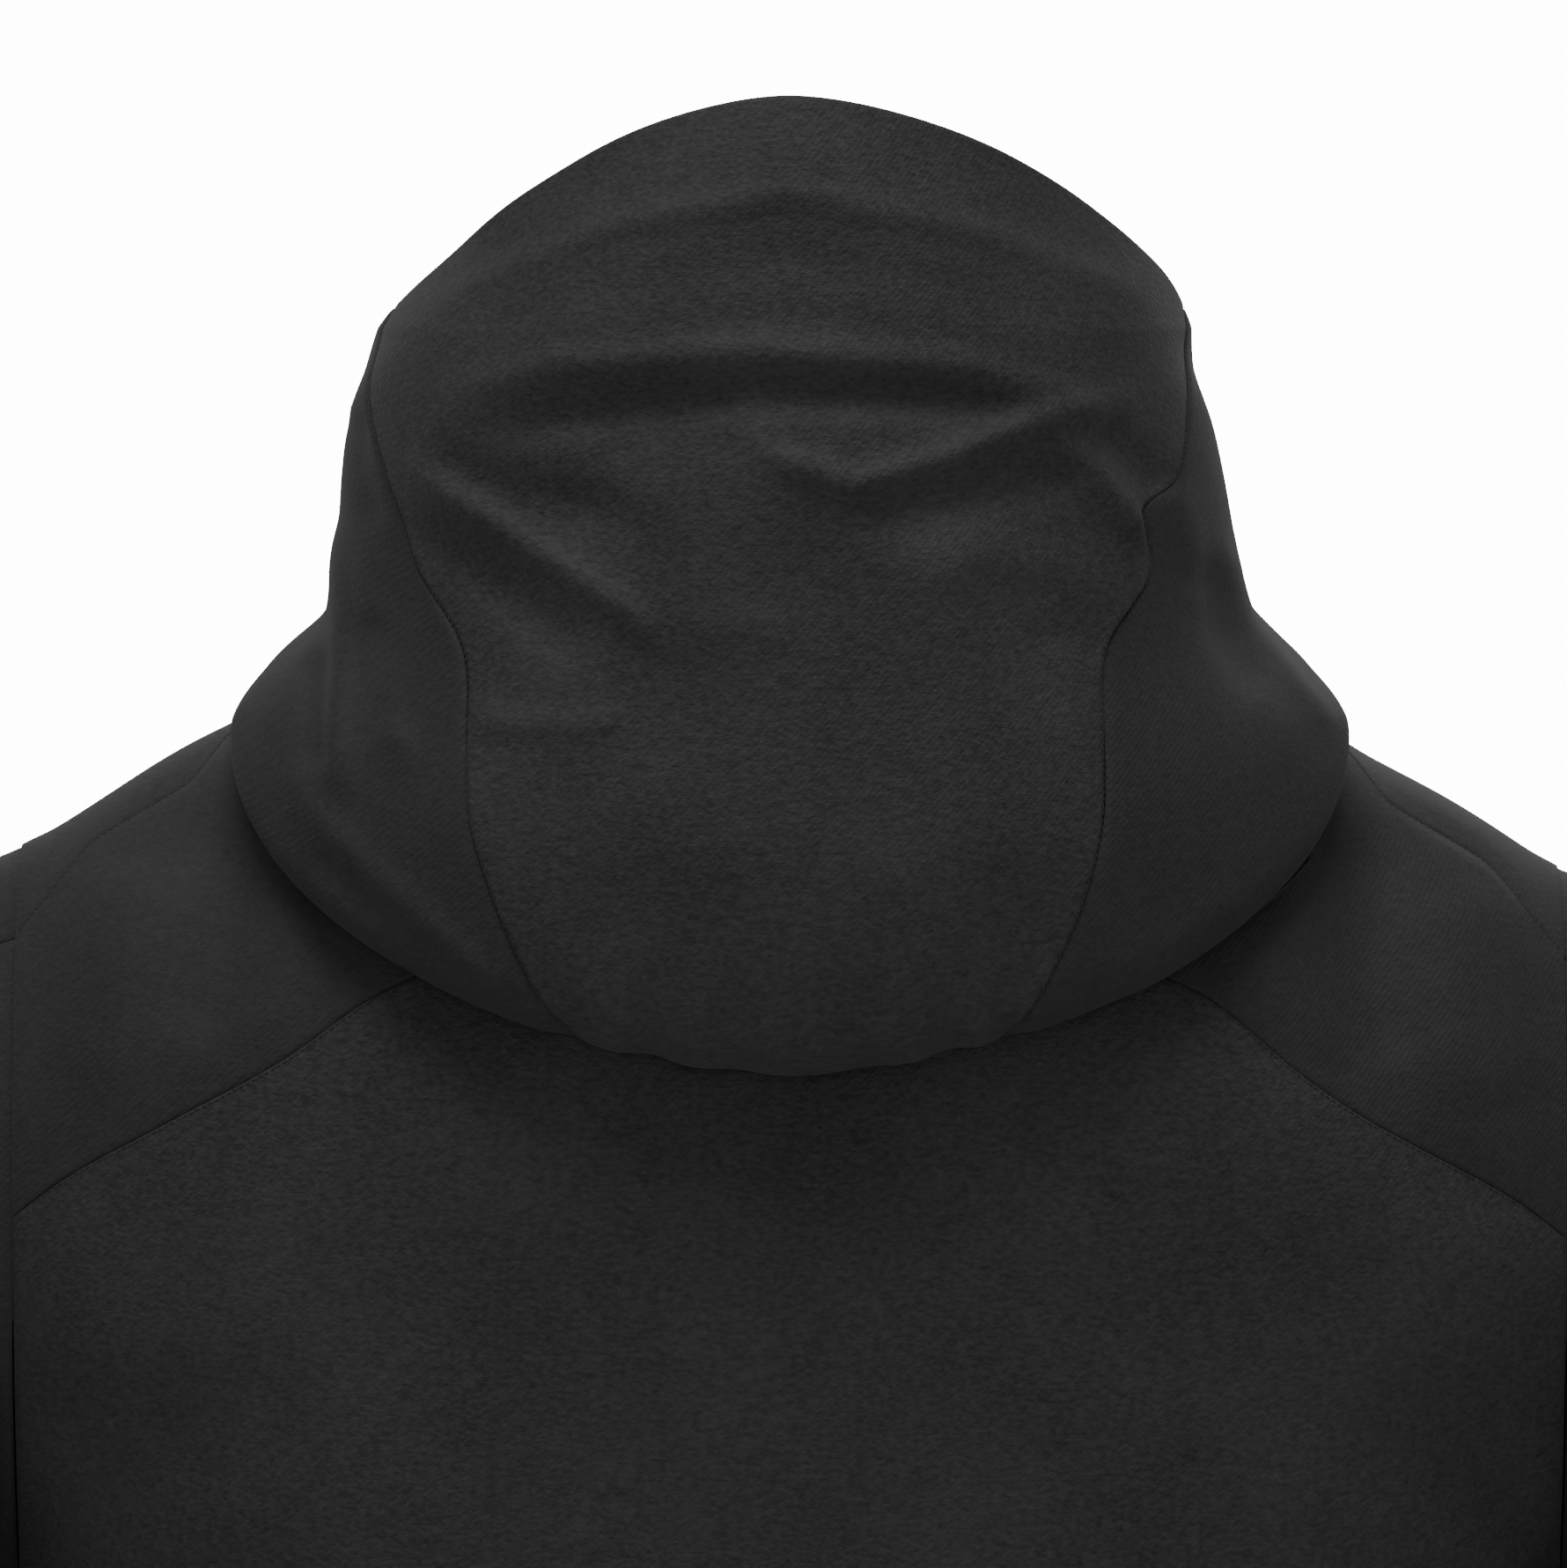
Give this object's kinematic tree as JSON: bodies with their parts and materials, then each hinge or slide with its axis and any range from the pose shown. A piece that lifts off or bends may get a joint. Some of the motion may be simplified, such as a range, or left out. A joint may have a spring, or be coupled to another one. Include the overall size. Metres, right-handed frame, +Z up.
{
  "type": "hardshell jacket",
  "caption": "Black hooded hardshell jacket with raglan-style shoulder panels, full front zip, stand collar, hand pockets and adjustable cuffs, hood folded down.",
  "frame": {"origin": "centre of the neck opening, level with the neck seam", "axes": "+Z up, the front faces -Y, the wearer's left is +X"},
  "size_m": [0.7482, 0.2799, 0.8907],
  "materials": {
    "shell_fabric": "matt crepe-faced stretch laminate",
    "lining_fabric": "brushed tricot",
    "seam_film": "smooth film",
    "zip_tape": "smooth coated tape",
    "hard_plastic": "fine matt",
    "coated_metal": "satin black coating"
  },
  "bodies": {
    "shell": {"back_panel": "shell_fabric", "back_neck_panel": "shell_fabric", "rear_shoulder_left": "shell_fabric", "shoulder_top_left": "shell_fabric", "front_panel_left": "shell_fabric", "side_panel_left": "shell_fabric", "rear_shoulder_right": "shell_fabric", "shoulder_top_right": "shell_fabric", "front_panel_right": "shell_fabric", "side_panel_right": "shell_fabric", "collar": "shell_fabric", "collar_lining": "lining_fabric", "hem_facing": "lining_fabric", "seam_tape_yoke": "seam_film", "hood_neck_gusset": "lining_fabric", "seam_tape_side_left": "seam_film", "seam_tape_side_right": "seam_film", "main_zip_tape_left": "zip_tape", "main_zip_tape_right": "zip_tape", "main_zip_teeth_left": "hard_plastic", "main_zip_teeth_right": "hard_plastic", "main_zip_box": "hard_plastic", "storm_flap": "shell_fabric", "chin_guard": "shell_fabric", "pocket_zip_left": "zip_tape", "pocket_bag_left": "lining_fabric", "pocket_zip_right": "zip_tape", "pocket_bag_right": "lining_fabric", "hem_lock_left": "hard_plastic", "hem_lock_right": "hard_plastic", "hanger_loop": "lining_fabric"},
    "hood": {"hood_center_panel": "shell_fabric", "hood_side_left": "shell_fabric", "hood_side_right": "shell_fabric", "hood_brim": "shell_fabric", "hood_brim_stiffener": "hard_plastic"},
    "main_slider": {"main_slider": "coated_metal"},
    "main_pull": {"main_pull": "coated_metal"},
    "sleeve_left": {"sleeve_rear_left": "shell_fabric", "sleeve_front_left": "shell_fabric"},
    "forearm_left": {"forearm_rear_left": "shell_fabric", "forearm_front_left": "shell_fabric", "cuff_facing_left": "lining_fabric", "cuff_loop_patch_left": "hard_plastic"},
    "cuff_tab_left": {"cuff_tab_left": "shell_fabric"},
    "pocket_slider_left": {"pocket_slider_left": "coated_metal"},
    "pocket_pull_left": {"pocket_pull_left": "coated_metal"},
    "hem_plunger_left": {"hem_plunger_left": "hard_plastic"},
    "sleeve_right": {"sleeve_rear_right": "shell_fabric", "sleeve_front_right": "shell_fabric"},
    "forearm_right": {"forearm_rear_right": "shell_fabric", "forearm_front_right": "shell_fabric", "cuff_facing_right": "lining_fabric", "cuff_loop_patch_right": "hard_plastic"},
    "cuff_tab_right": {"cuff_tab_right": "shell_fabric"},
    "pocket_slider_right": {"pocket_slider_right": "coated_metal"},
    "pocket_pull_right": {"pocket_pull_right": "coated_metal"},
    "hem_plunger_right": {"hem_plunger_right": "hard_plastic"}
  },
  "joints": [
    {"name": "hood_raise", "type": "hinge", "parent": "shell", "child": "hood", "pos_m": [0, -0.06, 0.03], "axis": [1, 0, 0], "range_deg": [0, 50]},
    {"name": "main_slider_slide", "type": "slide", "parent": "shell", "child": "main_slider", "axis": [0, -0.0477, -0.9989], "range_m": [0, 0.7634], "deforming": ["main_zip_teeth_left", "main_zip_teeth_right"]},
    {"name": "main_pull_turn", "type": "hinge", "parent": "main_slider", "child": "main_pull", "pos_m": [0, -0.10417, 0.03598], "axis": [-1, 0, 0], "range_deg": [0, 150]},
    {"name": "sleeve_left_raise", "type": "hinge", "parent": "shell", "child": "sleeve_left", "pos_m": [0.206, 0, -0.0615], "axis": [0, -1, 0], "range_deg": [0, 65]},
    {"name": "elbow_left_bend", "type": "hinge", "parent": "sleeve_left", "child": "forearm_left", "pos_m": [0.293, -0.0645, -0.4295], "axis": [-0.9725, 0, -0.233], "range_deg": [0, 75]},
    {"name": "cuff_tab_left_open", "type": "hinge", "parent": "forearm_left", "child": "cuff_tab_left", "pos_m": [0.36641, -0.00596, -0.67987], "axis": [-0.065, 0.1873, 0.9801], "range_deg": [0, 95]},
    {"name": "pocket_slider_left_slide", "type": "slide", "parent": "shell", "child": "pocket_slider_left", "axis": [0.0237, -0.0126, -0.9996], "range_m": [0, 0.1455]},
    {"name": "pocket_pull_left_turn", "type": "hinge", "parent": "pocket_slider_left", "child": "pocket_pull_left", "pos_m": [0.16334, -0.08945, -0.40106], "axis": [-0.7846, -0.6199, -0.0108], "range_deg": [0, 150]},
    {"name": "hem_plunger_left_press", "type": "slide", "parent": "shell", "child": "hem_plunger_left", "axis": [0, 0, -1], "range_m": [0, 0.0022], "stiffness_N_per_m": 300},
    {"name": "sleeve_right_raise", "type": "hinge", "parent": "shell", "child": "sleeve_right", "pos_m": [-0.206, 0, -0.0615], "axis": [0, 1, 0], "range_deg": [0, 65]},
    {"name": "elbow_right_bend", "type": "hinge", "parent": "sleeve_right", "child": "forearm_right", "pos_m": [-0.293, -0.0645, -0.4295], "axis": [-0.9725, 0, 0.233], "range_deg": [0, 75]},
    {"name": "cuff_tab_right_open", "type": "hinge", "parent": "forearm_right", "child": "cuff_tab_right", "pos_m": [-0.36641, -0.00596, -0.67987], "axis": [-0.065, -0.1873, -0.9801], "range_deg": [0, 95]},
    {"name": "pocket_slider_right_slide", "type": "slide", "parent": "shell", "child": "pocket_slider_right", "axis": [-0.0237, -0.0126, -0.9996], "range_m": [0, 0.1455]},
    {"name": "pocket_pull_right_turn", "type": "hinge", "parent": "pocket_slider_right", "child": "pocket_pull_right", "pos_m": [-0.16334, -0.08945, -0.40106], "axis": [-0.7846, 0.6199, 0.0108], "range_deg": [0, 150]},
    {"name": "hem_plunger_right_press", "type": "slide", "parent": "shell", "child": "hem_plunger_right", "axis": [0, 0, -1], "range_m": [0, 0.0022], "stiffness_N_per_m": 300}
  ]
}
